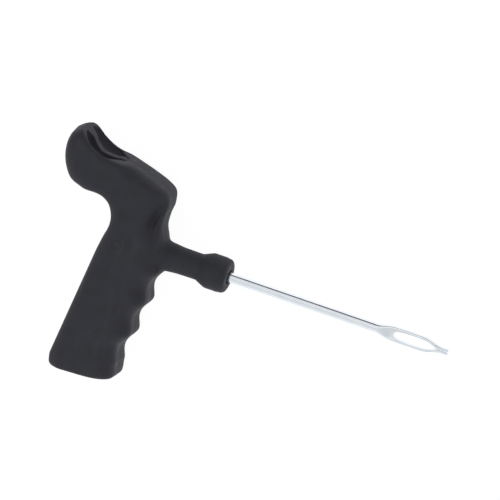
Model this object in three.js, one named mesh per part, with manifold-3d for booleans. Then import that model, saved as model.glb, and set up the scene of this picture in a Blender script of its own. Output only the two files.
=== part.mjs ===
// Tyre plug insertion tool: a pistol-grip moulding on a split-eye needle.
// Millimetres, +Z up. The tool lies on one flat side of its grip: +X runs along the needle to
// its tip, +Y towards the thumb horn, +Z through the thickness of the grip.
// Shapes are drawn in tool coordinates: x = 0 at the front face of the collar, y = 0 and z = 0
// on the needle's axis. The last lines stand the tool on z = 0 with its box centred.

import * as THREE from 'three';
import * as BufferGeometryUtils from 'three/addons/utils/BufferGeometryUtils.js';
import Module from 'manifold-3d';

const wasm = await Module();
wasm.setup();

// Driving dimensions.
const GRIP_THICKNESS = 26;         // across the two flat sides of the grip
// Edge rounding as [length along a cut, height in from the flat side].
const GRIP_REAR_EDGE = [6, 5.5];
const HORN_REAR_EDGE = [9, 8];
const FINGER_EDGE = [9, 6.5];      // at a crest
const FINGER_WRAP = [0.5, 0.5];    // growth of that rounding per millimetre of scallop depth
const NOTCH_EDGE = [12, 9];
const HUMP_EDGE = [9, 7.5];
const SLOPE_EDGE = [7, 7];
const REST_EDGE = [3, 3];
const FINGER_PITCH = 18.3;         // from one finger crest to the next
const FINGER_COUNT = 3;
const FINGER_DEPTH = 2.8;
const FINGER_CREST_SOFTNESS = 0.5; // 0 gives a sharp crest, 1 a wave
const FINGER_LINE_TOP = [-33.0, -7.6];  // upper end of the line through the finger crests
const GRIP_RAKE = 11;              // degrees that the grip leans back

const NECK_RADIUS = 6.9;
const COLLAR_RADIUS = 9.15;
const COLLAR_LENGTH = 10.4;
const NOSE_RADIUS = 8.9;
const NOSE_LENGTH = 3.2;
const NOSE_FILLET = 2.4;
const NOSE_FRONT = 0.5;            // the nose stands this far past x = 0
const DISH_DEPTH = 1.3;            // recess around the rod in the collar's face
const DISH_BOTTOM_RADIUS = 3.5;
const DISH_MOUTH_RADIUS = 3.8;
const FIT_GAP = 0.3;               // between the steel and the plastic around it

const SHANK_RADIUS = 2.6;
const NEEDLE_REACH = 119.5;        // collar face to the tips of the prongs
const HEAD_THICKNESS = 3.3;
const HEAD_START = 80.5;           // where the round shank begins to flatten into the head
const HEAD_FLAT = 89.5;            // where the head is fully flat
const HEAD_SQUARENESS = 3.5;       // added to the section's power of 2, which is an ellipse
const TANG_LENGTH = 52;
const PADDLE_LENGTH = 13;
const PADDLE_WIDTH = 8;
const PADDLE_THICKNESS = 3;
const TANG_START = -45.5;          // the end of the round rod, inside the paddle

// Materials.
const plastic = new THREE.MeshStandardMaterial({ color: 0x212226, roughness: 0.62, metalness: 0 });
const plated = new THREE.MeshStandardMaterial({ color: 0xd6d8dc, roughness: 0.22, metalness: 1 });

// A closed geometry as a manifold solid, and back.
function solid(geometry) {
  const bare = geometry.clone();
  bare.deleteAttribute('normal');
  bare.deleteAttribute('uv');
  const merged = BufferGeometryUtils.mergeVertices(bare, 1e-5);
  return new wasm.Manifold(new wasm.Mesh({
    numProp: 3,
    vertProperties: new Float32Array(merged.attributes.position.array),
    triVerts: new Uint32Array(merged.index.array),
  }));
}

function geometryOf(manifold) {
  const mesh = manifold.getMesh();
  const geometry = new THREE.BufferGeometry();
  geometry.setAttribute('position', new THREE.BufferAttribute(new Float32Array(mesh.vertProperties), 3));
  geometry.setIndex(new THREE.BufferAttribute(new Uint32Array(mesh.triVerts), 1));
  return geometry;
}

// A solid of revolution about the x axis, from a profile of [x, radius] that starts and ends
// on the axis.
function turned(profile, segments) {
  const points = profile.map(([x, r]) => new THREE.Vector2(r, x));
  const geometry = new THREE.LatheGeometry(points, segments);
  geometry.rotateZ(-Math.PI / 2);
  return solid(geometry);
}

// Rings of equal length joined side by side and capped at both ends with a fan.
function loft(rings) {
  const count = rings[0].length;
  const positions = rings.flat(2);
  const index = [];
  for (let i = 0; i + 1 < rings.length; i += 1) {
    for (let j = 0; j < count; j += 1) {
      const a = i * count + j;
      const b = i * count + (j + 1) % count;
      index.push(a, b, b + count, a, b + count, a + count);
    }
  }
  for (const [ring, flip] of [[0, true], [rings.length - 1, false]]) {
    const centre = positions.length / 3;
    const mean = [0, 1, 2].map((k) => rings[ring].reduce((sum, p) => sum + p[k], 0) / count);
    positions.push(...mean);
    for (let j = 0; j < count; j += 1) {
      const a = ring * count + j;
      const b = ring * count + (j + 1) % count;
      index.push(...(flip ? [centre, b, a] : [centre, a, b]));
    }
  }
  const geometry = new THREE.BufferGeometry();
  geometry.setAttribute('position', new THREE.Float32BufferAttribute(positions, 3));
  geometry.setIndex(index);
  return solid(geometry);
}

// ---- Handle ----

// The front of the grip: shallow finger scallops hung on the raked crest line.
// t is 0 at the crest under the neck and FINGER_COUNT at the lowest crest.
function scallopDepth(t) {
  const soft = FINGER_CREST_SOFTNESS;
  const wave = Math.sqrt(Math.sin(Math.PI * t) ** 2 + soft ** 2) - soft;
  return FINGER_DEPTH * wave / (Math.sqrt(1 + soft ** 2) - soft);
}

function fingerFront(t) {
  const rake = THREE.MathUtils.degToRad(GRIP_RAKE);
  const depth = scallopDepth(t);
  const along = t * FINGER_PITCH;
  return [
    FINGER_LINE_TOP[0] - along * Math.sin(rake) - depth * Math.cos(rake),
    FINGER_LINE_TOP[1] - along * Math.cos(rake) + depth * Math.sin(rake),
  ];
}

// The side view as cuts through the grip, each from a point on the rear edge to a point on the
// front edge. The cuts fan round the web of the hand into the thumb horn.
const FOOT_CUTS = [
  { rear: [-74.8, -71.7], front: [-49.8, -70.5] },
  { rear: [-76.6, -70.9], front: [-46.0, -69.7] },
  { rear: [-77.5, -69.2], front: [-43.2, -67.4] },
];
const REAR_FOOT = [-78.0, -65.3];
const REAR_WAIST = [-67.6, -5.6];
const TOP_CUTS = [
  { rear: REAR_WAIST, front: FINGER_LINE_TOP, rearEdge: GRIP_REAR_EDGE, frontEdge: FINGER_EDGE },
  { rear: [-66.6, -1.2], front: [-34.0, -3.5], rearEdge: GRIP_REAR_EDGE, frontEdge: NOTCH_EDGE },
  { rear: [-65.7, 2.5], front: [-34.5, 4.0], rearEdge: GRIP_REAR_EDGE, frontEdge: NOTCH_EDGE },
  { rear: [-64.7, 5.9], front: [-35.9, 9.0], rearEdge: GRIP_REAR_EDGE, frontEdge: NOTCH_EDGE },
  { rear: [-64.2, 9.3], front: [-38.0, 14.4], rearEdge: GRIP_REAR_EDGE, frontEdge: NOTCH_EDGE },
  { rear: [-64.5, 12.8], front: [-37.9, 20.8], rearEdge: GRIP_REAR_EDGE, frontEdge: NOTCH_EDGE },
  { rear: [-65.8, 16.4], front: [-37.0, 26.6], rearEdge: GRIP_REAR_EDGE, frontEdge: NOTCH_EDGE },
  { rear: [-67.5, 18.9], front: [-38.5, 32.2], rearEdge: GRIP_REAR_EDGE, frontEdge: HUMP_EDGE },
  { rear: [-69.5, 20.4], front: [-43.5, 35.3], rearEdge: GRIP_REAR_EDGE, frontEdge: SLOPE_EDGE },
  { rear: [-71.8, 21.4], front: [-51.0, 38.1], rearEdge: GRIP_REAR_EDGE, frontEdge: SLOPE_EDGE },
  { rear: [-74.5, 21.8], front: [-59.4, 40.6], rearEdge: GRIP_REAR_EDGE, frontEdge: SLOPE_EDGE },
  { rear: [-77.7, 21.7], front: [-66.6, 41.2], rearEdge: GRIP_REAR_EDGE, frontEdge: REST_EDGE },
  { rear: [-81.2, 21.4], front: [-72.4, 41.9], rearEdge: GRIP_REAR_EDGE, frontEdge: REST_EDGE },
  { rear: [-85.2, 22.1], front: [-77.6, 43.7], rearEdge: HORN_REAR_EDGE, frontEdge: REST_EDGE },
  { rear: [-89.6, 23.8], front: [-81.8, 45.9], rearEdge: HORN_REAR_EDGE, frontEdge: REST_EDGE },
  { rear: [-93.1, 28.6], front: [-84.6, 47.8], rearEdge: HORN_REAR_EDGE, frontEdge: REST_EDGE },
  { rear: [-95.5, 34.4], front: [-86.6, 49.3], rearEdge: HORN_REAR_EDGE, frontEdge: REST_EDGE },
  { rear: [-96.4, 40.6], front: [-88.2, 50.5], rearEdge: HORN_REAR_EDGE, frontEdge: REST_EDGE },
  { rear: [-96.0, 45.8], front: [-89.7, 51.4], rearEdge: HORN_REAR_EDGE, frontEdge: REST_EDGE },
  { rear: [-94.4, 49.6], front: [-91.2, 51.7], rearEdge: HORN_REAR_EDGE, frontEdge: REST_EDGE },
];

// A smooth curve through pairs of numbers, with the same spacing between each two of them.
function smoothLine(points, divisions) {
  const curve = new THREE.SplineCurve(points.map(([x, y]) => new THREE.Vector2(x, y)));
  return Array.from({ length: divisions + 1 }, (unused, i) => curve.getPoint(i / divisions).toArray());
}

function gripCuts() {
  const fingerCuts = [];
  const fingerSteps = 30;
  for (let i = fingerSteps; i > 0; i -= 1) {
    const t = FINGER_COUNT * i / fingerSteps;
    const share = 1 - i / fingerSteps;
    fingerCuts.push({
      rear: REAR_FOOT.map((value, k) => THREE.MathUtils.lerp(value, REAR_WAIST[k], share)),
      front: fingerFront(t),
      rearEdge: GRIP_REAR_EDGE,
      frontEdge: FINGER_EDGE.map((value, k) => value + FINGER_WRAP[k] * scallopDepth(t)),
    });
  }
  const topSteps = 38;
  const lines = {};
  for (const key of ['rear', 'front', 'rearEdge', 'frontEdge']) {
    lines[key] = smoothLine(TOP_CUTS.map((cut) => cut[key]), topSteps);
  }
  const topCuts = lines.rear.map((rear, i) => ({
    rear,
    front: lines.front[i],
    rearEdge: lines.rearEdge[i],
    frontEdge: lines.frontEdge[i],
  }));
  const footCuts = FOOT_CUTS.map((cut) => ({ ...cut, rearEdge: GRIP_REAR_EDGE, frontEdge: FINGER_EDGE }));
  return [...footCuts, ...fingerCuts, ...topCuts];
}

// One cut as a ring: a bar from the rear point to the front point, half thick on each side of
// the middle plane, with a quarter ellipse at each corner.
function cutRing({ rear, front, rearEdge, frontEdge }, half) {
  const span = Math.hypot(front[0] - rear[0], front[1] - rear[1]);
  const arcSteps = 5;
  const ring = [];
  const corner = (edge, atFront, side, startDegrees) => {
    const length = Math.min(edge[0], span / 2);
    const height = Math.min(edge[1], half);
    for (let i = 0; i <= arcSteps; i += 1) {
      const angle = THREE.MathUtils.degToRad(startDegrees - 90 * i / arcSteps);
      const centre = atFront ? span - length : length;
      const share = (centre + length * Math.cos(angle)) / span;
      ring.push([
        THREE.MathUtils.lerp(rear[0], front[0], share),
        THREE.MathUtils.lerp(rear[1], front[1], share),
        side * (half - height) + height * Math.sin(angle),
      ]);
    }
  };
  corner(frontEdge, true, 1, 90);
  corner(frontEdge, true, -1, 0);
  corner(rearEdge, false, -1, -90);
  corner(rearEdge, false, 1, -180);
  return ring;
}

// The thickness eases in at the foot and at the end of the horn, so both ends are rounded.
function gripBody() {
  const cuts = gripCuts();
  const half = GRIP_THICKNESS / 2;
  const footEase = [0.86, 0.94, 0.99];
  const hornEase = [0.30, 0.58, 0.76, 0.87, 0.94, 0.98];
  const rings = cuts.map((cut, i) => {
    const ease = footEase[i] ?? hornEase[cuts.length - 1 - i] ?? 1;
    return cutRing(cut, half * ease);
  });
  return loft(rings);
}

function neckAndCollar() {
  const profile = [
    [-50, 0],
    [-50, 12.6],
    [-46, 12.2],
    [-42, 11.0],
    [-39, 9.8],
    [-36, 8.6],
    [-33, 7.7],
    [-29.5, 7.3],
    [-25, NECK_RADIUS],
    [-15.6, NECK_RADIUS - 0.1],
    [-COLLAR_LENGTH - 0.4, COLLAR_RADIUS - 0.3],
    [-COLLAR_LENGTH + 0.5, COLLAR_RADIUS],
    [-NOSE_LENGTH, COLLAR_RADIUS],
    [-NOSE_LENGTH, NOSE_RADIUS],
  ];
  for (let i = 0; i <= 4; i += 1) {
    const angle = Math.PI / 2 * i / 4;
    profile.push([
      NOSE_FRONT - NOSE_FILLET + NOSE_FILLET * Math.sin(angle),
      NOSE_RADIUS - NOSE_FILLET + NOSE_FILLET * Math.cos(angle),
    ]);
  }
  profile.push([NOSE_FRONT, 0]);
  return turned(profile, 40);
}

// The thumb rest is a pointed recess in two halves with a rib between them. Each half is a trough
// that is deepest beside the rib, and the rib's top dips under the line of the rims.
const RIB_WIDTH = 4.2;
const RIB_WIDENING = 1.6;          // at each side of the rib, at the top of the horn
const POCKET_DEPTH = 4.6;
const POCKET_TAIL = [-64.3, 41.0];
const POCKET_TOP = [83, 88.3];     // -x over which the pockets run out at the top of the horn
const POCKET_TOP_SHALLOWING = 0.35;
const POCKET_DEPTH_POWER = 0.8;    // how the depth follows the width
const POCKET_LEAN = 0.25;          // how much deeper it is beside the rib than by the rim
const POCKET_SQUARENESS = 0.85;    // 1 gives a round trough
const POCKET_MIN_WIDTH = 0.6;
// Both tables run along the rest as [x, value].
const POCKET_OUTSIDE = [
  [-64.3, 2.4], [-66.6, 3.8], [-69.1, 6.4], [-71.5, 9.6], [-73.8, 11.2], [-77, 11.6], [-82, 11.6],
  [-84.5, 11.0], [-86, 9.9], [-87.3, 7.9], [-88.3, 4.6],
];
const RIB_DROP = [
  [-64.3, -1.5], [-67, -0.5], [-70, 0.4], [-74, 1.3], [-78, 2.1], [-81.7, 1.2], [-85, -0.3], [-88.3, -2],
];

// The rest as points with the direction into the plastic at each of them.
function restLine(steps) {
  const rest = TOP_CUTS.filter((cut) => cut.frontEdge === REST_EDGE).map((cut) => cut.front);
  const line = smoothLine([POCKET_TAIL, ...rest.slice(0, -2)], steps);
  return line.map((point, i) => {
    const before = line[Math.max(i - 1, 0)];
    const after = line[Math.min(i + 1, steps)];
    const inward = new THREE.Vector2(before[1] - after[1], after[0] - before[0]).normalize();
    return { point, inward };
  });
}

function valueAlongRest(table, x) {
  const curve = smoothLine(table, 4 * table.length);
  const next = curve.findIndex((pair) => pair[0] <= x);
  if (next < 1) {
    return curve[next === 0 ? 0 : curve.length - 1][1];
  }
  const [x0, y0] = curve[next - 1];
  const [x1, y1] = curve[next];
  return THREE.MathUtils.mapLinear(x, x0, x1, y0, y1);
}

// A loft whose rings may run either way round.
function cutter(rings) {
  const body = loft(rings);
  return body.volume() > 0 ? body : loft(rings.map((ring) => [...ring].reverse()));
}

function sunkPoint({ point, inward }, sunk, across) {
  return [point[0] + inward.x * sunk, point[1] + inward.y * sunk, across];
}

function signedPower(value, power) {
  return Math.sign(value) * Math.abs(value) ** power;
}

function thumbPocket(side) {
  const sides = 14;
  const widest = (Math.max(...POCKET_OUTSIDE.map((pair) => pair[1])) - RIB_WIDTH / 2) / 2;
  const rings = restLine(20).map((place) => {
    const x = place.point[0];
    const top = THREE.MathUtils.smoothstep(-x, ...POCKET_TOP);
    const outside = valueAlongRest(POCKET_OUTSIDE, x);
    const inside = Math.min(RIB_WIDTH / 2 + RIB_WIDENING * top, outside - POCKET_MIN_WIDTH);
    const halfWidth = (outside - inside) / 2;
    const fullDepth = POCKET_DEPTH * (halfWidth / widest) ** POCKET_DEPTH_POWER;
    const depth = fullDepth * (1 - POCKET_TOP_SHALLOWING * top);
    return Array.from({ length: sides }, (unused, j) => {
      const angle = 2 * Math.PI * j / sides;
      const outward = Math.cos(angle);
      const lean = POCKET_LEAN * outward;
      const across = (outside + inside) / 2 + halfWidth * signedPower(outward, POCKET_SQUARENESS);
      const sunk = depth * signedPower(Math.sin(angle), 1 + lean) * (1 - lean);
      return sunkPoint(place, sunk, side * across);
    });
  });
  return cutter(rings);
}

function ribRelief() {
  const halfWidth = 3;
  const crown = 0.1;
  const rings = restLine(16).map((place) => {
    const drop = valueAlongRest(RIB_DROP, place.point[0]);
    return [
      sunkPoint(place, -halfWidth, halfWidth),
      sunkPoint(place, -halfWidth, -halfWidth),
      sunkPoint(place, drop, -halfWidth),
      sunkPoint(place, drop + crown, 0),
      sunkPoint(place, drop, halfWidth),
    ];
  });
  return cutter(rings);
}

// ---- Needle ----

// The head's upper half as [x, distance from the axis]: its outside, and the eye and the slit.
const HEAD_OUTSIDE = [
  [HEAD_START - 1.5, SHANK_RADIUS], [82, 2.62], [84.5, 2.95], [87.5, 3.55], [90.5, 3.85], [94, 3.9],
  [99, 3.9], [104.8, 3.88], [108, 3.5], [110.5, 2.85], [113, 2.05], [115.5, 1.55], [NEEDLE_REACH, 1.42],
];
const EYE = [
  [90.1, 0], [90.35, 0.75], [91.2, 1.55], [93.2, 2.1], [97, 2.4], [102, 2.5], [106.5, 2.3],
  [109.5, 1.75], [111.8, 0.95], [113.3, 0.25], [116, 0.24], [NEEDLE_REACH + 1.5, 0.24],
];

// A section across the rod: an ellipse at power 2, squarer at a higher power.
function rodRing(x, halfWidth, halfThickness, power) {
  const sides = 32;
  return Array.from({ length: sides }, (unused, j) => {
    const angle = 2 * Math.PI * j / sides;
    return [
      x,
      halfWidth * signedPower(Math.cos(angle), 2 / power),
      halfThickness * signedPower(Math.sin(angle), 2 / power),
    ];
  });
}

function rodAndHead() {
  const headRings = smoothLine(HEAD_OUTSIDE, 36).map(([x, halfWidth]) => {
    const flat = THREE.MathUtils.smoothstep(x, HEAD_START, HEAD_FLAT);
    const tipThinning = 0.25 * THREE.MathUtils.smoothstep(x, 108, NEEDLE_REACH);
    const halfThickness = THREE.MathUtils.lerp(SHANK_RADIUS, HEAD_THICKNESS / 2, flat) - tipThinning;
    return rodRing(x, halfWidth, halfThickness, 2 + HEAD_SQUARENESS * flat);
  });
  return cutter([rodRing(TANG_START, SHANK_RADIUS, SHANK_RADIUS, 2), ...headRings]);
}

function eyeCutter() {
  const upper = smoothLine(EYE, 44);
  const lower = upper.slice(1).map(([x, y]) => [x, -y]).reverse();
  const shape = new THREE.Shape([...upper, ...lower].map(([x, y]) => new THREE.Vector2(x, y)));
  const depth = 3 * HEAD_THICKNESS;
  const geometry = new THREE.ExtrudeGeometry(shape, { depth, bevelEnabled: false, steps: 1 });
  geometry.translate(0, 0, -depth / 2);
  return solid(geometry);
}

// A plate in the xy plane with rounded edges, centred on z = 0.
function plate(outline, thickness, edge) {
  const shape = new THREE.Shape(outline.map(([x, y]) => new THREE.Vector2(x, y)));
  const geometry = new THREE.ExtrudeGeometry(shape, {
    depth: thickness - 2 * edge,
    bevelThickness: edge,
    bevelSize: edge,
    bevelOffset: -edge,
    bevelSegments: 2,
    steps: 1,
  });
  geometry.translate(0, 0, edge - thickness / 2);
  return solid(geometry);
}

function paddleOutline(grow) {
  const back = -TANG_LENGTH - grow;
  const front = -TANG_LENGTH + PADDLE_LENGTH + grow;
  const half = PADDLE_WIDTH / 2 + grow;
  const chamfer = 2;
  return [
    [front, -half + chamfer], [front, half - chamfer], [front - chamfer, half], [back + chamfer, half],
    [back, half - chamfer], [back, -half + chamfer], [back + chamfer, -half], [front - chamfer, -half],
  ];
}

// The tang's paddle keeps the rod from turning and from pulling out. Grown by the fit gap it is
// also the cavity that it lies in.
function paddle(grow) {
  return plate(paddleOutline(grow), PADDLE_THICKNESS + 2 * grow, 0.4);
}

function needle() {
  return rodAndHead().add(paddle(0)).subtract(eyeCutter());
}

// The bore for the rod, which opens into a shallow dish in the collar's face.
function bore() {
  const radius = SHANK_RADIUS + FIT_GAP;
  const start = TANG_START - FIT_GAP;
  const profile = [
    [start, 0],
    [start, radius],
    [-DISH_DEPTH, radius],
    [-DISH_DEPTH, DISH_BOTTOM_RADIUS],
    [NOSE_FRONT + 1, DISH_MOUTH_RADIUS],
    [NOSE_FRONT + 1, 0],
  ];
  return turned(profile, 32).add(paddle(FIT_GAP));
}

function handle() {
  return gripBody()
    .add(neckAndCollar())
    .subtract(thumbPocket(1))
    .subtract(thumbPocket(-1))
    .subtract(ribRelief())
    .subtract(bore());
}

const tool = new THREE.Group();
for (const [name, shape, material] of [['handle', handle(), plastic], ['needle', needle(), plated]]) {
  const mesh = new THREE.Mesh(geometryOf(shape), material);
  mesh.name = name;
  tool.add(mesh);
}

// The origin is under the middle of the tool's box, on the surface that it lies on.
const box = new THREE.Box3().setFromObject(tool);
tool.position.set(-(box.min.x + box.max.x) / 2, -(box.min.y + box.max.y) / 2, -box.min.z);
tool.updateMatrixWorld(true);

export default tool;
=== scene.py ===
"""Tyre plug insertion tool: the visual model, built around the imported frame.

Shapes are drawn in tool coordinates, in millimetres: x = 0 at the collar's front face, y = 0 and
z = 0 on the needle's axis, +x towards the tip, +y towards the thumb horn, +z to the camera's side.
"""

import math

import bmesh
import bpy
import numpy as np
from mathutils import Matrix, Vector


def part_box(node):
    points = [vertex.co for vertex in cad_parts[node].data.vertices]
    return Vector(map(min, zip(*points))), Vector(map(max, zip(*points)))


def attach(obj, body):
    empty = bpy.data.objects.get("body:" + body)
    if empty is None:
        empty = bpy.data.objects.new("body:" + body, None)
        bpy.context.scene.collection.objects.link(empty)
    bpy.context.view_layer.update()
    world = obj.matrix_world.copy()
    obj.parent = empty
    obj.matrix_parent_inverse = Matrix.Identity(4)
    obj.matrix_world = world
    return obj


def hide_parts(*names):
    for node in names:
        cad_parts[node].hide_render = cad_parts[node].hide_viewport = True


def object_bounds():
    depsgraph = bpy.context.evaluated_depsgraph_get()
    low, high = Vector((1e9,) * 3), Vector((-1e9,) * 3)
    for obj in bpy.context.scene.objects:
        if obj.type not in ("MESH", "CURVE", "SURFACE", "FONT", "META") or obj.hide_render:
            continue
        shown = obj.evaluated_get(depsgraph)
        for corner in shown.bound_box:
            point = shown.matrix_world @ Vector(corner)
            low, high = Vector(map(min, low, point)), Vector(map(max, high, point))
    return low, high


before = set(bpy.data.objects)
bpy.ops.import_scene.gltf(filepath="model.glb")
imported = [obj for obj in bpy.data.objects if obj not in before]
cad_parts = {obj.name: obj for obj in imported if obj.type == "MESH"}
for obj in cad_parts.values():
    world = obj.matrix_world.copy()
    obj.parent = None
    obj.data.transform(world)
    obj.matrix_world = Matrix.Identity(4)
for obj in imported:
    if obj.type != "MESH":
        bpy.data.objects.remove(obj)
CAD_BOX = [list(corner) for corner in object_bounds()]

MM = 0.001
NEEDLE_REACH = 119.5  # from the collar's face to the tips of the prongs
needle_low, needle_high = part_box("needle")
ORIGIN = Vector((
    needle_high.x - NEEDLE_REACH * MM,
    (needle_low.y + needle_high.y) / 2,
    (needle_low.z + needle_high.z) / 2,
))


def placed(point):
    """A point in tool millimetres as a point in the row frame in metres."""
    return Vector(point) * MM + ORIGIN


# ---- Mesh helpers -------------------------------------------------------------------------


def mesh_object(name, vertices, faces):
    mesh = bpy.data.meshes.new(name)
    mesh.from_pydata([tuple(placed(v)) for v in vertices], [], faces)
    mesh.update()
    piece = bpy.data.objects.new(name, mesh)
    bpy.context.scene.collection.objects.link(piece)
    return piece


def fix_normals(piece):
    work = bmesh.new()
    work.from_mesh(piece.data)
    bmesh.ops.recalc_face_normals(work, faces=work.faces)
    work.to_mesh(piece.data)
    work.free()


def loft(name, rings):
    """Closed rings of equal length joined side by side, with a fan at both ends."""
    count = len(rings[0])
    vertices = [tuple(p) for ring in rings for p in ring]
    faces = []
    for i in range(len(rings) - 1):
        for j in range(count):
            a, b = i * count + j, i * count + (j + 1) % count
            faces.append((a, b, b + count, a + count))
    for i in (0, len(rings) - 1):
        centre = len(vertices)
        vertices.append(tuple(np.mean(np.array(rings[i]), axis=0)))
        for j in range(count):
            faces.append((centre, i * count + j, i * count + (j + 1) % count))
    piece = mesh_object(name, vertices, faces)
    fix_normals(piece)
    return piece


def turned(name, profile, segments):
    """A solid of revolution about the x axis from [x, radius] pairs that start and end on it."""
    vertices, faces, rows = [], [], []
    for x, r in profile:
        if r < 1e-6:
            rows.append([len(vertices)] * segments)
            vertices.append((x, 0, 0))
            continue
        rows.append(list(range(len(vertices), len(vertices) + segments)))
        for j in range(segments):
            angle = 2 * math.pi * j / segments
            vertices.append((x, r * math.cos(angle), r * math.sin(angle)))
    for low, high in zip(rows, rows[1:]):
        for j in range(segments):
            k = (j + 1) % segments
            corners = list(dict.fromkeys((low[j], low[k], high[k], high[j])))
            if len(corners) > 2:
                faces.append(corners)
    piece = mesh_object(name, vertices, faces)
    fix_normals(piece)
    return piece


def bake_modifiers(piece):
    """Apply every modifier on the piece."""
    depsgraph = bpy.context.evaluated_depsgraph_get()
    mesh = bpy.data.meshes.new_from_object(piece.evaluated_get(depsgraph))
    piece.modifiers.clear()
    old = piece.data
    piece.data = mesh
    bpy.data.meshes.remove(old)


def boolean(piece, cutter, operation):
    modifier = piece.modifiers.new("boolean", "BOOLEAN")
    modifier.object = cutter
    modifier.operation = operation
    modifier.solver = "EXACT"
    bake_modifiers(piece)
    bpy.data.objects.remove(cutter)


def remesh(piece, size):
    modifier = piece.modifiers.new("remesh", "REMESH")
    modifier.mode = "VOXEL"
    modifier.voxel_size = size * MM
    modifier.use_smooth_shade = True
    bake_modifiers(piece)


def positions(mesh):
    flat = np.empty(len(mesh.vertices) * 3, np.float64)
    mesh.vertices.foreach_get("co", flat)
    return flat.reshape(-1, 3)


def tool_points(mesh):
    """The mesh's vertices in tool millimetres."""
    return (positions(mesh) - np.array(ORIGIN)) / MM


def set_positions(mesh, points):
    mesh.vertices.foreach_set("co", points.astype(np.float32).ravel())
    mesh.update()


def set_tool_points(mesh, points):
    set_positions(mesh, points * MM + np.array(ORIGIN))


def keep_in_box(piece):
    """Hold every vertex inside the CAD model's box."""
    set_positions(piece.data, np.clip(positions(piece.data), CAD_BOX[0], CAD_BOX[1]))


def shade_smooth(piece):
    for face in piece.data.polygons:
        face.use_smooth = True


def join(piece, other):
    work = bmesh.new()
    work.from_mesh(piece.data)
    work.from_mesh(other.data)
    work.to_mesh(piece.data)
    work.free()
    bpy.data.objects.remove(other)


def relax(piece, rounds, weight_of=None, back=-0.52):
    """Smooth a mesh without shrinking it: each round is one step in and a slightly larger one out."""
    mesh = piece.data
    edges = np.empty(len(mesh.edges) * 2, np.int64)
    mesh.edges.foreach_get("vertices", edges)
    edges = edges.reshape(-1, 2)
    points = positions(mesh)
    count = len(points)
    valence = np.maximum(np.bincount(edges.ravel(), minlength=count), 1)[:, None]
    weight = np.ones((count, 1)) if weight_of is None else weight_of(tool_points(mesh))[:, None]

    def step(points, factor):
        total = np.empty_like(points)
        for k in range(3):
            total[:, k] = np.bincount(edges[:, 0], points[edges[:, 1], k], count)
            total[:, k] += np.bincount(edges[:, 1], points[edges[:, 0], k], count)
        return points + factor * weight * (total / valence - points)

    for _ in range(rounds):
        points = step(points, 0.5)
        if back:
            points = step(points, back)
    set_positions(mesh, points)


def soften(piece, rounds, weight_of):
    """Plain smoothing, which fills a crease and rounds an edge."""
    relax(piece, rounds, weight_of, back=0.0)


def smooth_line(points, divisions):
    """A Catmull-Rom curve through the points, with equal steps between each two of them."""
    points = np.array(points, float)
    last = len(points) - 1
    out = []
    for i in range(divisions + 1):
        place = last * i / divisions
        k = min(int(place), last - 1)
        t = place - k
        p0, p1, p2, p3 = (points[min(max(k + d, 0), last)] for d in (-1, 0, 1, 2))
        v0, v1 = (p2 - p0) / 2, (p3 - p1) / 2
        out.append(
            (2 * p1 - 2 * p2 + v0 + v1) * t**3 + (-3 * p1 + 3 * p2 - 2 * v0 - v1) * t**2 + v0 * t + p1
        )
    return out


def ease(low, high, value):
    """A smooth step from 0 at low to 1 at high."""
    share = min(max((value - low) / (high - low), 0), 1)
    return share * share * (3 - 2 * share)


def signed_power(value, power):
    return math.copysign(abs(value) ** power, value)


# ---- Handle -------------------------------------------------------------------------------

GRIP_HALF = 13.0
# Edge roundings as (length along a cut, height in from the flat side).
REAR_EDGE = (6, 5.5)
HORN_EDGE = (9, 8)
FINGER_EDGE = (9, 6.5)
FINGER_WRAP = (0.5, 0.5)  # growth of that rounding per millimetre of scallop depth
NOTCH_EDGE = (12, 9)
HUMP_EDGE = (9, 7.5)
SLOPE_EDGE = (7, 7)
REST_EDGE = (3.0, 3.0)
FINGER_PITCH = 18.3
FINGER_COUNT = 3
FINGER_DEPTH = 2.8
CREST_SOFTNESS = 0.5  # 0 gives a sharp crest, 1 a wave
FINGER_LINE_TOP = (-33.0, -7.6)  # upper end of the line through the finger crests
RAKE = math.radians(11)  # how far the grip leans back
# Rear point, front point, share of the full thickness.
FOOT_CUTS = [
    ((-74.8, -71.7), (-49.8, -70.5), 0.86),
    ((-76.6, -70.9), (-46.0, -69.7), 0.94),
    ((-77.5, -69.2), (-43.2, -67.4), 0.99),
]
REAR_FOOT = (-78.0, -65.3)
REAR_WAIST = (-67.6, -5.6)
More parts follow.
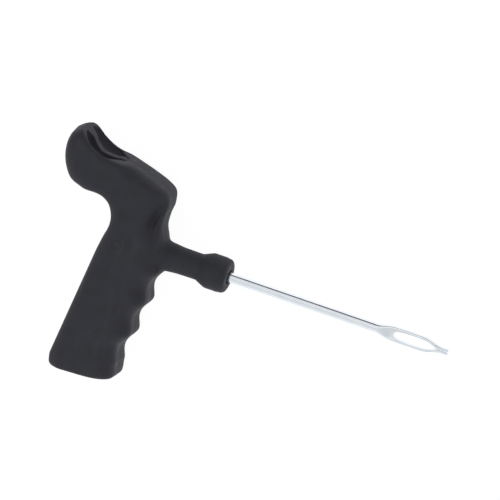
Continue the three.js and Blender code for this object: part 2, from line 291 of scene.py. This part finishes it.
# Rear point, front point, rear edge rounding, front edge rounding.
TOP_CUTS = [
    (REAR_WAIST, FINGER_LINE_TOP, REAR_EDGE, FINGER_EDGE),
    ((-66.6, -1.2), (-34.0, -3.5), REAR_EDGE, NOTCH_EDGE),
    ((-65.7, 2.5), (-34.5, 4.0), REAR_EDGE, NOTCH_EDGE),
    ((-64.7, 5.9), (-35.9, 9.0), REAR_EDGE, NOTCH_EDGE),
    ((-64.2, 9.3), (-38.0, 14.4), REAR_EDGE, NOTCH_EDGE),
    ((-64.5, 12.8), (-37.9, 20.8), REAR_EDGE, NOTCH_EDGE),
    ((-65.8, 16.4), (-37.0, 26.6), REAR_EDGE, NOTCH_EDGE),
    ((-67.5, 18.9), (-38.5, 32.2), REAR_EDGE, HUMP_EDGE),
    ((-69.5, 20.4), (-43.5, 35.3), REAR_EDGE, SLOPE_EDGE),
    ((-71.8, 21.4), (-51.0, 38.1), REAR_EDGE, SLOPE_EDGE),
    ((-74.5, 21.8), (-59.4, 40.6), REAR_EDGE, SLOPE_EDGE),
    ((-77.7, 21.7), (-66.6, 41.2), REAR_EDGE, REST_EDGE),
    ((-81.2, 21.4), (-72.4, 41.9), REAR_EDGE, REST_EDGE),
    ((-85.2, 22.1), (-77.6, 43.7), HORN_EDGE, REST_EDGE),
    ((-89.6, 23.8), (-81.8, 45.9), HORN_EDGE, REST_EDGE),
    ((-93.1, 28.6), (-84.6, 47.8), HORN_EDGE, REST_EDGE),
    ((-95.5, 34.4), (-86.6, 49.3), HORN_EDGE, REST_EDGE),
    ((-96.4, 40.6), (-88.2, 50.5), HORN_EDGE, REST_EDGE),
    ((-96.0, 45.8), (-89.7, 51.4), HORN_EDGE, REST_EDGE),
    ((-94.4, 49.6), (-91.2, 51.7), HORN_EDGE, REST_EDGE),
]
# Share of the full thickness, by the number of coarse cuts from the horn's end.
HORN_SWELL = [(0, 0.30), (1, 0.58), (2, 0.76), (3, 0.87), (4, 0.94), (5, 0.98), (6, 1)]
COARSE_TOP_STEPS = 38
FOOT_STEPS, FINGER_STEPS, TOP_STEPS = 12, 90, 152


def scallop_depth(t):
    """Depth below the crest line, where t counts the crests from 0 under the neck."""
    wave = math.sqrt(math.sin(math.pi * t) ** 2 + CREST_SOFTNESS**2) - CREST_SOFTNESS
    return FINGER_DEPTH * wave / (math.sqrt(1 + CREST_SOFTNESS**2) - CREST_SOFTNESS)


def finger_front(t):
    depth, along = scallop_depth(t), t * FINGER_PITCH
    return (
        FINGER_LINE_TOP[0] - along * math.sin(RAKE) - depth * math.cos(RAKE),
        FINGER_LINE_TOP[1] - along * math.cos(RAKE) + depth * math.sin(RAKE),
    )


def cut_ring(rear, front, rear_edge, front_edge, half):
    """A bar from the rear to the front point with a quarter ellipse at each corner."""
    steps = 12
    rear, front = np.array(rear), np.array(front)
    span = np.linalg.norm(front - rear)
    ring = []

    def corner(edge, at_front, side, start):
        length, height = min(edge[0], span / 2), min(edge[1], half)
        for i in range(steps + 1):
            angle = math.radians(start - 90 * i / steps)
            centre = span - length if at_front else length
            share = (centre + length * math.cos(angle)) / span
            x, y = rear + (front - rear) * share
            ring.append((x, y, side * (half - height) + height * math.sin(angle)))

    corner(front_edge, True, 1, 90)
    corner(front_edge, True, -1, 0)
    corner(rear_edge, False, -1, -90)
    corner(rear_edge, False, 1, -180)
    return ring


def grip_rings():
    """The cuts through the grip from its foot, past the fingers, to the end of the horn."""
    lowest = (REAR_FOOT, finger_front(FINGER_COUNT), 1.0)
    foot = [(r, f, e) for r, f, e in FOOT_CUTS] + [lowest]
    lines = [smooth_line([cut[k] for cut in foot], FOOT_STEPS) for k in (0, 1)]
    swell = smooth_line([(cut[2],) for cut in foot], FOOT_STEPS)
    rings = []
    for i in range(FOOT_STEPS):
        half = GRIP_HALF * swell[i][0]
        rings.append(cut_ring(lines[0][i], lines[1][i], REAR_EDGE, FINGER_EDGE, half))
    for i in range(FINGER_STEPS, 0, -1):
        t = FINGER_COUNT * i / FINGER_STEPS
        share = 1 - i / FINGER_STEPS
        rear = np.array(REAR_FOOT) * (1 - share) + np.array(REAR_WAIST) * share
        wrap = scallop_depth(t)
        edge = (FINGER_EDGE[0] + FINGER_WRAP[0] * wrap, FINGER_EDGE[1] + FINGER_WRAP[1] * wrap)
        rings.append(cut_ring(rear, finger_front(t), REAR_EDGE, edge, GRIP_HALF))
    rear, front, rear_edge, front_edge = (
        smooth_line([cut[k] for cut in TOP_CUTS], TOP_STEPS) for k in range(4)
    )
    for i in range(TOP_STEPS + 1):
        from_end = (TOP_STEPS - i) * COARSE_TOP_STEPS / TOP_STEPS
        half = GRIP_HALF * np.interp(from_end, *zip(*HORN_SWELL))
        rings.append(cut_ring(rear[i], front[i], rear_edge[i], front_edge[i], half))
    return rings


COLLAR_RADIUS = 9.15
COLLAR_LENGTH = 10.4
NOSE_RADIUS = 8.9
NOSE_LENGTH = 3.2
NOSE_FILLET = 2.4
NOSE_FRONT = 0.5
NOSE_STEPS = 8
# The neck from inside the grip to the collar, as [x, radius].
NECK_FLARE = [
    (-50, 12.6), (-46, 12.2), (-42, 11.0), (-39, 9.8), (-36, 8.6), (-33, 7.7), (-29.5, 7.3),
    (-25, 6.9), (-15.6, 6.8),
]


def neck():
    profile = [(-50, 0)] + [tuple(p) for p in smooth_line(NECK_FLARE, 32)]
    profile += [(-COLLAR_LENGTH - 0.4, COLLAR_RADIUS - 0.3), (-COLLAR_LENGTH + 0.5, COLLAR_RADIUS)]
    profile += [(-NOSE_LENGTH, COLLAR_RADIUS), (-NOSE_LENGTH, NOSE_RADIUS)]
    for i in range(NOSE_STEPS + 1):
        angle = math.pi / 2 * i / NOSE_STEPS
        profile.append((
            NOSE_FRONT - NOSE_FILLET + NOSE_FILLET * math.sin(angle),
            NOSE_RADIUS - NOSE_FILLET + NOSE_FILLET * math.cos(angle),
        ))
    profile.append((NOSE_FRONT, 0))
    return turned("neck", profile, 128)


RIB_WIDTH = 4.2
RIB_WIDENING = 1.6  # at each side of the rib, at the top of the horn
RIB_CROWN = 0.1
RELIEF_HALF_WIDTH = 3.0
POCKET_DEPTH = 4.6
POCKET_TAIL = (-64.3, 41.0)
POCKET_TOP = (83, 88.3)  # -x over which the pockets run out at the top of the horn
POCKET_TOP_SHALLOWING = 0.35
POCKET_DEPTH_POWER = 0.8  # how the depth follows the width
POCKET_LEAN = 0.25  # how much deeper a pocket is beside the rib than by the rim
POCKET_TURN_IN = 0.3  # how much fuller its section is beside the rib
POCKET_SQUARENESS = 0.85  # 1 gives a round trough
POCKET_MIN_WIDTH = 0.6
POCKET_WIDEST = 4.75  # half of the greatest width
# Along the thumb rest as [x, distance of the pocket's outer wall from the middle plane].
POCKET_OUTSIDE = [
    (-64.3, 2.4), (-66.6, 3.8), (-69.1, 6.4), (-71.5, 9.6), (-73.8, 11.2), (-77, 11.6), (-82, 11.6),
    (-84.5, 11.0), (-86, 9.9), (-87.3, 7.9), (-88.3, 4.6),
]
# How far the rib's top lies under the line of the rims.
RIB_DROP = [
    (-64.3, -1.5), (-67, -0.5), (-70, 0.4), (-74, 1.3), (-78, 2.1), (-81.7, 1.2), (-85, -0.3),
    (-88.3, -2.0),
]


def rest_line(steps):
    """The thumb rest from the tail of the pockets to their blunt end, with the inward normals."""
    points = [POCKET_TAIL] + [cut[1] for cut in TOP_CUTS if cut[3] == REST_EDGE][:-2]
    line = smooth_line(points, steps)
    for i, (x, y) in enumerate(line):
        along = line[min(i + 1, steps)] - line[max(i - 1, 0)]
        inward = -np.array((along[1], -along[0])) / np.linalg.norm(along)
        yield x, y, inward


def along_rest(table, x):
    """A smooth curve through the table's pairs, read at x."""
    curve = np.array(smooth_line(table, 80))
    return float(np.interp(-x, -curve[:, 0], curve[:, 1]))


def thumb_pocket(side):
    """A trough beside the rib, deepest next to it, from a pointed tail to a blunt end."""
    sides = 40
    rings = []
    for x, y, inward in rest_line(64):
        top = ease(*POCKET_TOP, -x)
        outside = along_rest(POCKET_OUTSIDE, x)
        inside = min(RIB_WIDTH / 2 + RIB_WIDENING * top, outside - POCKET_MIN_WIDTH)
        half_width = (outside - inside) / 2
        middle = side * (outside + inside) / 2
        depth = POCKET_DEPTH * (half_width / POCKET_WIDEST) ** POCKET_DEPTH_POWER
        depth *= 1 - POCKET_TOP_SHALLOWING * top
        ring = []
        for j in range(sides):
            angle = 2 * math.pi * j / sides
            c, s = math.cos(angle), math.sin(angle)
            across = half_width * signed_power(c, POCKET_SQUARENESS)
            sunk = depth * signed_power(s, 1 + POCKET_TURN_IN * c) * (1 - POCKET_LEAN * c)
            ring.append((x + inward[0] * sunk, y + inward[1] * sunk, middle + side * across))
        rings.append(ring)
    return loft("pocket", rings)


def rib_relief():
    """What is cut from the rib's top, so that it dips below the rims."""
    above, wide = -3, RELIEF_HALF_WIDTH
    rings = []
    for x, y, inward in rest_line(48):
        drop = along_rest(RIB_DROP, x)
        corners = ((above, wide), (above, -wide), (drop, -wide), (drop + RIB_CROWN, 0.0), (drop, wide))
        rings.append([(x + inward[0] * sunk, y + inward[1] * sunk, across) for sunk, across in corners])
    return loft("relief", rings)


HANDLE_VOXEL = 0.42
# Where plain smoothing rounds the roots of the neck and of the horn.
NECK_ROOT_X = -37
NECK_ROOT_LENGTH = 6.5
NECK_ROOT_HALF_HEIGHT = 15
HORN_ROOT = (-83.5, 22.5)
HORN_ROOT_RADIUS = 9
# The sides sink a little beside the index finger's notch.
VALLEY_LINE = [(-39.6, 29.0), (-41.4, 22.0), (-42.9, 15.0), (-40.8, 9.0)]
VALLEY_STEPS = 30
VALLEY_DEPTH = 3.8
VALLEY_HALF_WIDTH = 2.1
# The fine ridge that a two-part mould leaves on the middle plane.
PARTING_WIDTH = 0.22
PARTING_HEIGHT = 0.09
# Round marks that the mould's pins leave on the sides, as (x, y, radius).
PIN_MARKS = [(-56.6, 1.0, 2.3), (-39.6, 5.4, 1.4)]
PIN_GROOVE_WIDTH = 0.55
PIN_GROOVE_DEPTH = 0.22
# The hole for the rod, which opens into a shallow dish in the collar's face.
ROD_HOLE = [(-51, 0), (-51, 2.9), (-1.3, 2.9), (-1.3, 3.5), (1.5, 3.9), (1.5, 0)]


def neck_root_weight(points):
    along = np.exp(-(((points[:, 0] - NECK_ROOT_X) / NECK_ROOT_LENGTH) ** 4))
    across = np.exp(-((points[:, 1] / NECK_ROOT_HALF_HEIGHT) ** 6))
    return along * across


def horn_root_weight(points):
    distance = np.hypot(points[:, 0] - HORN_ROOT[0], points[:, 1] - HORN_ROOT[1])
    return np.exp(-((distance / HORN_ROOT_RADIUS) ** 4))


def notch_valleys(piece):
    """Sink both sides along the valley's line, most at its middle and not at all at its ends."""
    points = tool_points(piece.data)
    sunk = np.zeros(len(points))
    for k, (x, y) in enumerate(smooth_line(VALLEY_LINE, VALLEY_STEPS)):
        distance = np.hypot(points[:, 0] - x, points[:, 1] - y)
        strength = math.sin(math.pi * (k + 1) / (VALLEY_STEPS + 2))
        sunk = np.maximum(sunk, strength * np.exp(-((distance / VALLEY_HALF_WIDTH) ** 2)))
    on_side = np.clip((np.abs(points[:, 2]) - 3) / 4, 0, 1)
    points[:, 2] -= np.sign(points[:, 2]) * VALLEY_DEPTH * sunk * on_side
    set_tool_points(piece.data, points)


def parting_line(piece):
    work = bmesh.new()
    work.from_mesh(piece.data)
    for offset in (-PARTING_WIDTH, 0, PARTING_WIDTH):
        bmesh.ops.bisect_plane(
            work,
            geom=work.verts[:] + work.edges[:] + work.faces[:],
            plane_co=placed((0, 0, offset)),
            plane_no=(0, 0, 1),
            dist=1e-7,
        )
    work.normal_update()
    middle = placed((0, 0, 0)).z
    for vertex in work.verts:
        if abs(vertex.co.z - middle) < 2e-7 and abs(vertex.normal.z) < 0.9:
            vertex.co += vertex.normal * PARTING_HEIGHT * MM
    work.to_mesh(piece.data)
    work.free()


def pin_marks(piece):
    """A fine ring-shaped groove around each mark, on both sides of the tool."""
    work = bmesh.new()
    work.from_mesh(piece.data)
    for x, y, radius in PIN_MARKS:
        centre = placed((x, y, 0))

        def distance(vertex):
            return math.hypot(vertex.co.x - centre.x, vertex.co.y - centre.y) / MM

        near = {v for v in work.verts if distance(v) < radius + 1.5 and abs(v.normal.z) > 0.5}
        edges = [e for e in work.edges if e.verts[0] in near and e.verts[1] in near]
        bmesh.ops.subdivide_edges(work, edges=edges, cuts=3, use_grid_fill=True)
        work.normal_update()
        moves = []
        for vertex in work.verts:
            share = (distance(vertex) - radius) / PIN_GROOVE_WIDTH
            if abs(share) < 1 and abs(vertex.normal.z) > 0.5:
                depth = PIN_GROOVE_DEPTH * MM * (1 + math.cos(math.pi * share)) / 2
                moves.append((vertex, vertex.normal * depth))
        for vertex, move in moves:
            vertex.co -= move
    work.to_mesh(piece.data)
    work.free()


def handle():
    piece = loft("handle_moulding", grip_rings())
    boolean(piece, neck(), "UNION")
    for side in (1, -1):
        boolean(piece, thumb_pocket(side), "DIFFERENCE")
    boolean(piece, rib_relief(), "DIFFERENCE")
    boolean(piece, turned("hole", ROD_HOLE, 64), "DIFFERENCE")
    remesh(piece, HANDLE_VOXEL)
    soften(piece, 60, neck_root_weight)
    soften(piece, 90, horn_root_weight)
    notch_valleys(piece)
    relax(piece, 4)
    parting_line(piece)
    pin_marks(piece)
    shade_smooth(piece)
    keep_in_box(piece)
    return piece


# ---- Needle ------------------------------------------------------------------------------------

SHANK_RADIUS = 2.6
TANG_END = -52
HEAD_SEAM = 77.2  # where the turned shank ends inside the start of the head
HEAD_START, HEAD_FLAT = 80.5, 89.5  # the round section turns flat between these
HEAD_HALF_THICK = 1.65
HEAD_SQUARENESS = 3.5  # added to the section's power of 2, which is an ellipse
TIP_THINNING = 0.25
# The head above the axis, as [x, half width], for its outside, and for its eye and slit.
HEAD_OUTSIDE = [
    (76, 2.59), (79, 2.6), (82, 2.62), (84.5, 2.95), (87.5, 3.55), (90.5, 3.85), (94, 3.9), (99, 3.9),
    (104.8, 3.88), (108, 3.5), (110.5, 2.85), (113, 2.05), (115.5, 1.55), (119.5, 1.42),
]
EYE_OUTLINE = [
    (90.1, 0.0), (90.35, 0.75), (91.2, 1.55), (93.2, 2.1), (97.0, 2.4), (102.0, 2.5), (106.5, 2.3),
    (109.5, 1.75), (111.8, 0.95), (113.3, 0.25), (116, 0.24), (121, 0.24),
]
EYE_HALF_DEPTH = 5
HEAD_VOXEL = 0.14


def head_ring(x, half_width, half_thick, power):
    """A section across the head: an ellipse at power 2, squarer at a higher power."""
    sides = 72
    ring = []
    for j in range(sides):
        angle = 2 * math.pi * j / sides
        ring.append((
            x,
            half_width * signed_power(math.cos(angle), 2 / power),
            half_thick * signed_power(math.sin(angle), 2 / power),
        ))
    return ring


def head():
    rings = []
    for x, half_width in smooth_line(HEAD_OUTSIDE, 96):
        flat = ease(HEAD_START, HEAD_FLAT, x)
        half_thick = SHANK_RADIUS * (1 - flat) + HEAD_HALF_THICK * flat
        half_thick -= TIP_THINNING * ease(108, NEEDLE_REACH, x)
        rings.append(head_ring(x, half_width, half_thick, 2 + HEAD_SQUARENESS * flat))
    return loft("needle_rod", rings)


def eye_cutter():
    eye = [tuple(p) for p in smooth_line(EYE_OUTLINE, 80)]
    outline = eye + [(x, -y) for x, y in reversed(eye[1:])]
    count = len(outline)
    vertices = [(x, y, z) for z in (-EYE_HALF_DEPTH, EYE_HALF_DEPTH) for x, y in outline]
    faces = [list(range(count)), list(range(count, 2 * count))]
    faces += [(j, (j + 1) % count, count + (j + 1) % count, count + j) for j in range(count)]
    cutter = mesh_object("eye", vertices, faces)
    fix_normals(cutter)
    return cutter


def fit_to_shank(piece):
    """Put the round start of the head on the shank's radius, and just under it before the seam."""
    points = tool_points(piece.data)
    x, radius = points[:, 0], np.maximum(np.hypot(points[:, 1], points[:, 2]), 1e-6)
    wanted = SHANK_RADIUS - 0.05 * np.clip((HEAD_SEAM - x) / 0.4, 0, 1)
    share = np.where(radius > SHANK_RADIUS - 0.4, np.clip((82.5 - x) / 2.5, 0, 1), 0)
    factor = 1 + share * (wanted / radius - 1)
    points[:, 1] *= factor
    points[:, 2] *= factor
    set_tool_points(piece.data, points)


def shank():
    """The turned rod. Short first and last steps keep the shading of its long side straight."""
    profile = [(TANG_END, 0), (TANG_END, SHANK_RADIUS - 0.3)]
    profile += [(TANG_END + 0.3, SHANK_RADIUS), (TANG_END + 0.6, SHANK_RADIUS)]
    profile += [(HEAD_SEAM - 0.3, SHANK_RADIUS), (HEAD_SEAM, SHANK_RADIUS)]
    profile += [(HEAD_SEAM + 0.6, SHANK_RADIUS - 0.1), (HEAD_SEAM + 0.6, 0)]
    return turned("shank", profile, 160)


def needle():
    piece = head()
    boolean(piece, eye_cutter(), "DIFFERENCE")
    remesh(piece, HEAD_VOXEL)
    relax(piece, 6)
    fit_to_shank(piece)
    bar = shank()
    shade_smooth(bar)
    join(piece, bar)
    keep_in_box(piece)
    return piece


# ---- Materials ----------------------------------------------------------------------------


def material(name):
    made = bpy.data.materials.new(name)
    made.use_nodes = True
    tree = made.node_tree
    return made, tree.nodes, tree.links, tree.nodes["Principled BSDF"]


def noise(nodes, links, scale, detail, stretch=(1, 1, 1)):
    """A noise texture on the object's own coordinates; the scale is in cycles per metre."""
    coordinates = nodes.new("ShaderNodeTexCoord")
    mapping = nodes.new("ShaderNodeMapping")
    mapping.inputs["Scale"].default_value = stretch
    texture = nodes.new("ShaderNodeTexNoise")
    texture.inputs["Scale"].default_value = scale
    texture.inputs["Detail"].default_value = detail
    links.new(coordinates.outputs["Object"], mapping.inputs["Vector"])
    links.new(mapping.outputs["Vector"], texture.inputs["Vector"])
    return texture.outputs["Fac"]


def between(nodes, links, source, low, high, out_low, out_high):
    """The source's range from low to high, spread over the output's range and held there."""
    spread = nodes.new("ShaderNodeMapRange")
    limits = {"From Min": low, "From Max": high, "To Min": out_low, "To Max": out_high}
    for socket, value in limits.items():
        spread.inputs[socket].default_value = value
    links.new(source, spread.inputs["Value"])
    return spread.outputs["Result"]


def added(nodes, links, first, second):
    step = nodes.new("ShaderNodeMath")
    step.operation = "ADD"
    links.new(first, step.inputs[0])
    links.new(second, step.inputs[1])
    return step.outputs["Value"]


def blend(nodes, links, factor, first, second):
    """From the first colour to the second."""
    mix = nodes.new("ShaderNodeMix")
    mix.data_type = "RGBA"
    mix.inputs[6].default_value = (*first, 1)
    mix.inputs[7].default_value = (*second, 1)
    links.new(factor, mix.inputs[0])
    return mix.outputs[2]


def bump(nodes, links, height, distance, strength, below=None):
    node = nodes.new("ShaderNodeBump")
    node.inputs["Distance"].default_value = distance
    node.inputs["Strength"].default_value = strength
    links.new(height, node.inputs["Height"])
    if below is not None:
        links.new(below, node.inputs["Normal"])
    return node.outputs["Normal"]


def plastic_material():
    """Matte black moulding: a fine spark-eroded grain, cloudy flow tones and a few handling rubs."""
    made, nodes, links, shader = material("black_plastic")
    clouds = noise(nodes, links, 110, 3)
    grain = noise(nodes, links, 2600, 2)
    rubs = noise(nodes, links, 260, 4, (1, 0.16, 1))
    tone = between(nodes, links, clouds, 0.3, 0.7, 0, 1)
    colour = blend(nodes, links, tone, (0.0252, 0.0262, 0.0345), (0.0318, 0.0325, 0.0425))
    links.new(colour, shader.inputs["Base Color"])
    worn = between(nodes, links, rubs, 0.56, 0.72, 0, -0.16)
    rough = added(nodes, links, between(nodes, links, grain, 0.3, 0.7, 0.6, 0.7), worn)
    links.new(rough, shader.inputs["Roughness"])
    shader.inputs["Specular IOR Level"].default_value = 0.3
    soft = bump(nodes, links, clouds, 0.0002, 0.25)
    links.new(bump(nodes, links, grain, 0.00003, 0.5, soft), shader.inputs["Normal"])
    return made


def steel_material():
    """Bright plating over a drawn rod: faint lengthwise lines, slightly cloudy gloss."""
    made, nodes, links, shader = material("plated_steel")
    drawn = noise(nodes, links, 3200, 2, (0.012, 1, 1))
    clouds = noise(nodes, links, 240, 3)
    tone = between(nodes, links, clouds, 0.3, 0.7, 0, 1)
    colour = blend(nodes, links, tone, (0.83, 0.88, 0.94), (0.90, 0.94, 0.985))
    links.new(colour, shader.inputs["Base Color"])
    shader.inputs["Metallic"].default_value = 1
    cloudy = between(nodes, links, clouds, 0.3, 0.7, 0.09, 0.15)
    lined = between(nodes, links, drawn, 0.35, 0.65, 0, 0.05)
    links.new(added(nodes, links, cloudy, lined), shader.inputs["Roughness"])
    links.new(bump(nodes, links, drawn, 0.00002, 0.35), shader.inputs["Normal"])
    return made


def floor_material():
    made, _, _, shader = material("floor")
    shader.inputs["Base Color"].default_value = (0.1, 0.1, 0.1, 1)
    shader.inputs["Roughness"].default_value = 0.9
    shader.inputs["Emission Color"].default_value = (1, 1, 1, 1)
    shader.inputs["Emission Strength"].default_value = 0.95
    return made


def card_material():
    made, _, _, shader = material("black_card")
    shader.inputs["Base Color"].default_value = (0.01, 0.01, 0.01, 1)
    shader.inputs["Roughness"].default_value = 1
    shader.inputs["Specular IOR Level"].default_value = 0
    return made


# ---- Build --------------------------------------------------------------------------------

moulding = handle()
moulding.data.materials.clear()
moulding.data.materials.append(plastic_material())
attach(moulding, "root")
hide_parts("handle")

rod = needle()
rod.data.materials.clear()
rod.data.materials.append(steel_material())
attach(rod, "root")
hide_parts("needle")

FLOOR_SIZE = 40
FLOOR_GAP = 0.0002
bpy.ops.mesh.primitive_plane_add(size=FLOOR_SIZE, location=(0, 0, -FLOOR_GAP))
floor = bpy.context.object
floor.name = "floor"
floor.data.materials.append(floor_material())

# ---- Camera -------------------------------------------------------------------------------

YAW, PITCH, ROLL = math.radians(14), math.radians(18), math.radians(18.93)
FRAME_WIDTH = 0.25
SENSOR_WIDTH = 36
DISTANCE = 9.0
# The point looked at, from the collar's face: along the picture's width and height before the roll.
TARGET_ACROSS, TARGET_UP = 5.95, 16.2

sin_yaw, cos_yaw = math.sin(YAW), math.cos(YAW)
sin_pitch, cos_pitch = math.sin(PITCH), math.cos(PITCH)
e_across = Vector((cos_yaw, -sin_pitch * sin_yaw, -cos_pitch * sin_yaw))
e_up = Vector((0, cos_pitch, -sin_pitch))
right = e_across * math.cos(ROLL) + e_up * math.sin(ROLL)
up = -e_across * math.sin(ROLL) + e_up * math.cos(ROLL)
back = right.cross(up)
target = placed((0, 0, 0)) + e_across * TARGET_ACROSS * MM + e_up * TARGET_UP * MM

camera_data = bpy.data.cameras.new("camera")
camera_data.sensor_width = SENSOR_WIDTH
camera_data.lens = SENSOR_WIDTH * DISTANCE / FRAME_WIDTH
camera_data.clip_start = 0.5
camera_data.clip_end = 40
camera = bpy.data.objects.new("camera", camera_data)
bpy.context.scene.collection.objects.link(camera)
turn = Matrix((right, up, back)).transposed().to_4x4()
camera.matrix_world = Matrix.Translation(target + back * DISTANCE) @ turn
bpy.context.scene.camera = camera

# ---- Light --------------------------------------------------------------------------------

# Name, tilt from overhead, turn from the picture's upward direction, diameter, distance, radiance.
SOFT_BOXES = [
    ("overhead", 0, 0, 1.2, 1.2, 0.22),
    ("high_back", 30, 0, 0.8, 1.0, 0.25),
    ("back", 60, 0, 0.6, 1.0, 0.25),
    ("front", 48, 219, 1.0, 1.0, 0.30),
    ("low_side", 76, 215, 0.6, 1.0, 0.30),
    ("low_front", 75, 180, 0.5, 1.0, 0.90),
    ("left", 45, 270, 0.7, 1.0, 0.90),
    ("right", 62, 100, 0.6, 1.0, 0.70),
    ("low_left", 78, 270, 0.4, 1.0, 0.30),
]
BOX_AIM_HEIGHT = 0.02
WORLD_STRENGTH = 0.48
CARD_PLACE = (-0.2, 1.0)
CARD_WIDTH = 0.9
CARD_HEIGHT = 0.6


def soft_box(name, tilt, turn, size, distance, radiance):
    """A round soft box that faces the tool, with its angles in degrees."""
    tilt, turn = math.radians(tilt), math.radians(turn)
    away = Vector((up.x, up.y, 0)).normalized()
    side = Vector((away.y, -away.x, 0))
    level = away * math.cos(turn) + side * math.sin(turn)
    direction = Vector((0, 0, math.cos(tilt))) + level * math.sin(tilt)
    data = bpy.data.lights.new(name, "AREA")
    data.shape = "DISK"
    data.size = size
    data.energy = radiance * (math.pi * size / 2) ** 2
    light = bpy.data.objects.new(name, data)
    bpy.context.scene.collection.objects.link(light)
    light.location = Vector((0, 0, BOX_AIM_HEIGHT)) + direction * distance
    light.rotation_euler = direction.to_track_quat("Z", "Y").to_euler()


for box in SOFT_BOXES:
    soft_box(*box)

# A black card beyond the picture draws the thin dark line along the needle's upper edge.
bpy.ops.mesh.primitive_plane_add(
    size=1, location=(*CARD_PLACE, CARD_HEIGHT / 2), rotation=(math.pi / 2, 0, 0)
)
card = bpy.context.object
card.name = "black_card"
card.scale = (CARD_WIDTH, CARD_HEIGHT, 1)
card.visible_camera = False
card.data.materials.append(card_material())

world = bpy.data.worlds.new("world")
world.use_nodes = True
sky = world.node_tree.nodes["Background"]
sky.inputs["Color"].default_value = (1, 1, 1, 1)
sky.inputs["Strength"].default_value = WORLD_STRENGTH
bpy.context.scene.world = world
bpy.context.scene.view_settings.view_transform = "Standard"
